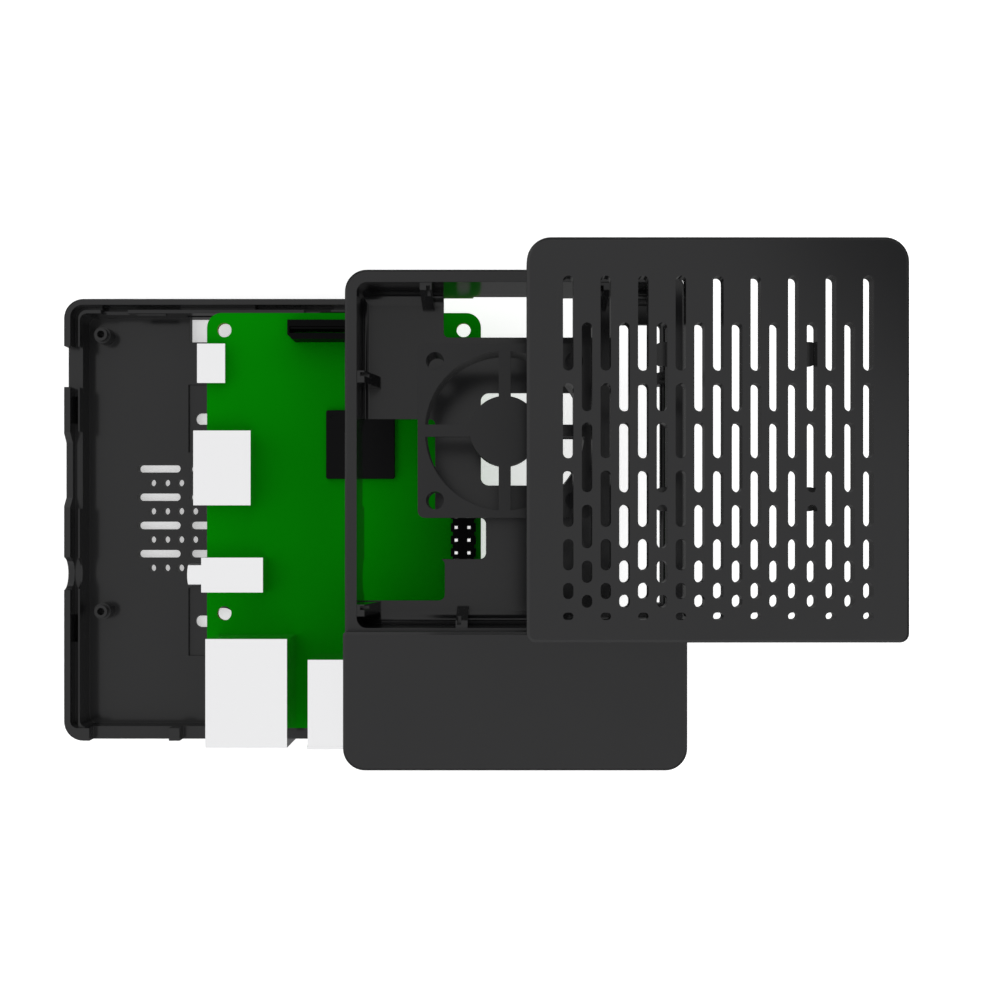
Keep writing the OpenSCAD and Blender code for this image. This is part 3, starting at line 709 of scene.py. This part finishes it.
class COMPUTER_OT_solder_joints(bpy.types.Operator):
    """Add the solder joints under the board: one for each pin and each socket leg"""
    bl_idname = "computer.solder_joints"
    bl_label = "Solder joints"

    HEADER_ROWS = 20
    HALF_PIN = 0.32 * MM
    WETTED = 1.2  # a joint's neck on a square pin, in half pins
    # A joint's cone: its rings, how far down its height the first one is, and how it narrows.
    CONE_RINGS, CONE_START, CONE_NARROWS = 6, 0.08, 2.2
    # Its rounded tip, in neck radii.
    TIP_RADIUS, TIP_SHOULDER, TIP_END = 0.6, 0.35, 0.45

    # Where the legs stand: how far in from the side, the front and the back of their socket.
    TALL_SIDE, TALL_FRONT, TALL_BACK = 1.3 * MM, 6 * MM, 3 * MM
    TALL_PINS, TALL_PIN_SIDE, TALL_PIN_BACKS = 4, 3.4 * MM, (1.6 * MM, 4.3 * MM)
    AUDIO_SIDE, AUDIO_BACKS = 1 * MM, (2 * MM, 8 * MM)
    VIDEO_SIDE, VIDEO_BACKS = 0.8 * MM, (2 * MM, 6.5 * MM)

    def execute(self, context):
        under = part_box("circuit_board")[0].z
        metal = solder()
        pins = bmesh.new()
        low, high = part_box("header_pins")
        for x in (low.x + self.HALF_PIN, high.x - self.HALF_PIN):
            for y in spread(self.HEADER_ROWS, low.y + self.HALF_PIN, high.y - self.HALF_PIN):
                foot = Vector((x, y, under))
                neck = self.HALF_PIN * self.WETTED
                self.fillet(pins, foot, pad=0.85 * MM, neck=neck, height=1.0 * MM)
        add_piece("header_solder", pins, "board", metal)
        legs = bmesh.new()
        for x, y in self.leg_places():
            foot = Vector((x, y, under))
            self.fillet(legs, foot, pad=0.8 * MM, neck=0.3 * MM, height=0.9 * MM)
        add_piece("socket_solder", legs, "board", metal)
        return {"FINISHED"}

    def fillet(self, bm, centre, pad, neck, height):
        """A cone of solder drawn in by surface tension, from its pad down to a rounded tip."""
        profile = [(0, 0), (pad, 0)]
        for t in spread(self.CONE_RINGS, self.CONE_START, 1):
            radius = neck + (pad - neck) * max(0, 1 - t) ** self.CONE_NARROWS
            profile.append((radius, -height * t))
        profile.append((neck * self.TIP_RADIUS, -height - neck * self.TIP_SHOULDER))
        profile.append((0, -height - neck * self.TIP_END))
        turned(bm, centre, profile)

    def leg_places(self):
        """Where the sockets' legs come through the board."""
        places = []
        for name in ("network_shell", "usb_shell_inner", "usb_shell_outer"):
            places += self.tall_socket_legs(*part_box(name))
        places += self.side_legs("audio_socket", self.AUDIO_SIDE, self.AUDIO_BACKS)
        places += self.side_legs("video_shell", self.VIDEO_SIDE, self.VIDEO_BACKS)
        return places

    def tall_socket_legs(self, low, high):
        """Four legs of the shell and two rows of pins, for a socket that opens towards -Y."""
        places = [
            (x, y) for x in (low.x + self.TALL_SIDE, high.x - self.TALL_SIDE)
            for y in (low.y + self.TALL_FRONT, high.y - self.TALL_BACK)]
        for back in self.TALL_PIN_BACKS:
            for x in spread(self.TALL_PINS, low.x + self.TALL_PIN_SIDE, high.x - self.TALL_PIN_SIDE):
                places.append((x, high.y - back))
        return places

    def side_legs(self, name, side, backs):
        """Legs along both sides of a socket that opens towards -X."""
        low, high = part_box(name)
        return [(high.x - back, y) for y in (low.y + side, high.y - side) for back in backs]


class COMPUTER_OT_studio(bpy.types.Operator):
    """Set up the floor, the soft light and the camera above the parts"""
    bl_idname = "computer.studio"
    bl_label = "Studio"

    FLOOR_REACH = 60  # metres, so that its edge lies on the horizon
    FLOOR_DROP = 0.4 * MM  # below the parts
    FLOOR_SQUARES = 8
    SENSOR_WIDTH = 36  # millimetres, as the lens is
    SHIFT_UP = 0.03  # of the sensor's width
    NEAR_CLIP = 0.01  # metres

    # A dark card in the sky, which the lid's far right corner mirrors.
    CARD_DIRECTION = Vector((0.40, 0.29, 1)).normalized()
    CARD_EDGE, CARD_FULL = math.radians(13), math.radians(8)  # from its middle to white and dark
    CARD_LEVEL = 0.02  # of the white sky's light
    LOWER_LEVEL = 0.12  # the same, below the horizon
    LOWER_FULL, LOWER_EDGE = -0.2, -0.05  # how far down that is: all of it, and where it starts

    SOFTBOX_DIRECTION = Vector((0.45, -0.45, 1)).normalized()
    SOFTBOX_DISTANCE, SOFTBOX_SIZE = 2.4, 1.0  # metres

    def execute(self, context):
        scene = context.scene
        studio = scene.computer_studio
        low, high = (Vector(corner) for corner in CAD_BOX)
        middle = (low + high) / 2
        self.floor(scene, studio, Vector((middle.x, middle.y, low.z - self.FLOOR_DROP)))
        self.sky(scene, studio)
        self.softbox(scene, studio, middle)
        self.camera(scene, studio, Vector((middle.x, middle.y, high.z)))
        scene.view_settings.view_transform = "Standard"
        return {"FINISHED"}

    def camera(self, scene, studio, lid_top):
        """A camera that looks straight down, which is how a new one points."""
        data = bpy.data.cameras.new("camera")
        data.lens = studio.lens
        data.sensor_width = self.SENSOR_WIDTH
        data.shift_y = self.SHIFT_UP
        data.clip_start = self.NEAR_CLIP
        camera = bpy.data.objects.new("camera", data)
        camera.location = lid_top + Vector((*studio.camera_shift, studio.camera_height))
        scene.collection.objects.link(camera)
        scene.camera = camera

    def floor(self, scene, studio, centre):
        """Pale card just under the parts, out to the horizon."""
        bm = bmesh.new()
        squares = self.FLOOR_SQUARES
        bmesh.ops.create_grid(bm, x_segments=squares, y_segments=squares, size=self.FLOOR_REACH)
        mesh = bpy.data.meshes.new("floor")
        bm.to_mesh(mesh)
        bm.free()
        mesh.materials.append(matt_card(studio))
        floor = bpy.data.objects.new("floor", mesh)
        floor.location = centre
        # Gloss shows the dim lower sky in place of the bright floor.
        floor.visible_glossy = False
        scene.collection.objects.link(floor)

    def sky(self, scene, studio):
        """White above, with one dark card high on the right, and dim below the horizon."""
        world = bpy.data.worlds.new("studio")
        world.use_nodes = True
        tree = world.node_tree
        tree.nodes.clear()
        direction = add(tree, "ShaderNodeTexCoord").outputs["Generated"]
        toward = add(
            tree, "ShaderNodeVectorMath", {1: self.CARD_DIRECTION}, {0: direction},
            operation="DOT_PRODUCT")
        dark = add(
            tree, "ShaderNodeMapRange",
            {"From Min": math.cos(self.CARD_EDGE), "From Max": math.cos(self.CARD_FULL)},
            {"Value": toward.outputs["Value"]}, interpolation_type="SMOOTHSTEP")
        upper = add(
            tree, "ShaderNodeMix", {MIX_A: rgba(WHITE), MIX_B: rgba(WHITE, self.CARD_LEVEL)},
            {MIX_FACTOR: dark.outputs["Result"]}, data_type="RGBA")
        height = add(tree, "ShaderNodeSeparateXYZ", links={"Vector": direction})
        above = add(
            tree, "ShaderNodeMapRange", {"From Min": self.LOWER_FULL, "From Max": self.LOWER_EDGE},
            {"Value": height.outputs["Z"]}, interpolation_type="SMOOTHSTEP")
        colour = add(
            tree, "ShaderNodeMix", {MIX_A: rgba(WHITE, self.LOWER_LEVEL)},
            {MIX_FACTOR: above.outputs["Result"], MIX_B: upper.outputs[MIX_RESULT]},
            data_type="RGBA")
        light = add(
            tree, "ShaderNodeBackground", {"Strength": studio.sky},
            {"Color": colour.outputs[MIX_RESULT]})
        add(tree, "ShaderNodeOutputWorld", links={"Surface": light.outputs[0]})
        scene.world = world

    def softbox(self, scene, studio, middle):
        """A soft key light, high and to the near right, aimed at the parts."""
        data = bpy.data.lights.new("softbox", "AREA")
        data.size = self.SOFTBOX_SIZE
        data.energy = studio.key
        light = bpy.data.objects.new("softbox", data)
        light.location = middle + self.SOFTBOX_DIRECTION * self.SOFTBOX_DISTANCE
        light.rotation_euler = self.SOFTBOX_DIRECTION.to_track_quat("Z", "Y").to_euler()
        scene.collection.objects.link(light)


# ---------- panel and add-on ----------

STEPS = (
    COMPUTER_OT_case, COMPUTER_OT_board, COMPUTER_OT_chips, COMPUTER_OT_sockets, COMPUTER_OT_fan,
    COMPUTER_OT_socket_springs, COMPUTER_OT_card_pads, COMPUTER_OT_solder_joints, COMPUTER_OT_studio,
)
SETTINGS = {
    "computer_case": CaseSettings,
    "computer_board": BoardSettings,
    "computer_metal": MetalSettings,
    "computer_studio": StudioSettings,
}


class COMPUTER_PT_panel(bpy.types.Panel):
    """Lists the settings and the steps that make the computer's look"""
    bl_idname = "COMPUTER_PT_panel"
    bl_label = "Single board computer"
    bl_space_type = "VIEW_3D"
    bl_region_type = "UI"
    bl_category = "Computer"

    def draw(self, context):
        for name, group in SETTINGS.items():
            box = self.layout.box()
            for prop in group.__annotations__:
                box.prop(getattr(context.scene, name), prop)
        for step in STEPS:
            self.layout.operator(step.bl_idname)


def register():
    for name, group in SETTINGS.items():
        bpy.utils.register_class(group)
        setattr(bpy.types.Scene, name, bpy.props.PointerProperty(type=group))
    for step in (*STEPS, COMPUTER_PT_panel):
        bpy.utils.register_class(step)


def unregister():
    for step in (COMPUTER_PT_panel, *reversed(STEPS)):
        bpy.utils.unregister_class(step)
    for name, group in SETTINGS.items():
        delattr(bpy.types.Scene, name)
        bpy.utils.unregister_class(group)


def main():
    register()
    for step in STEPS:
        group, name = step.bl_idname.split(".")
        getattr(getattr(bpy.ops, group), name)()


if __name__ == "__main__":
    main()
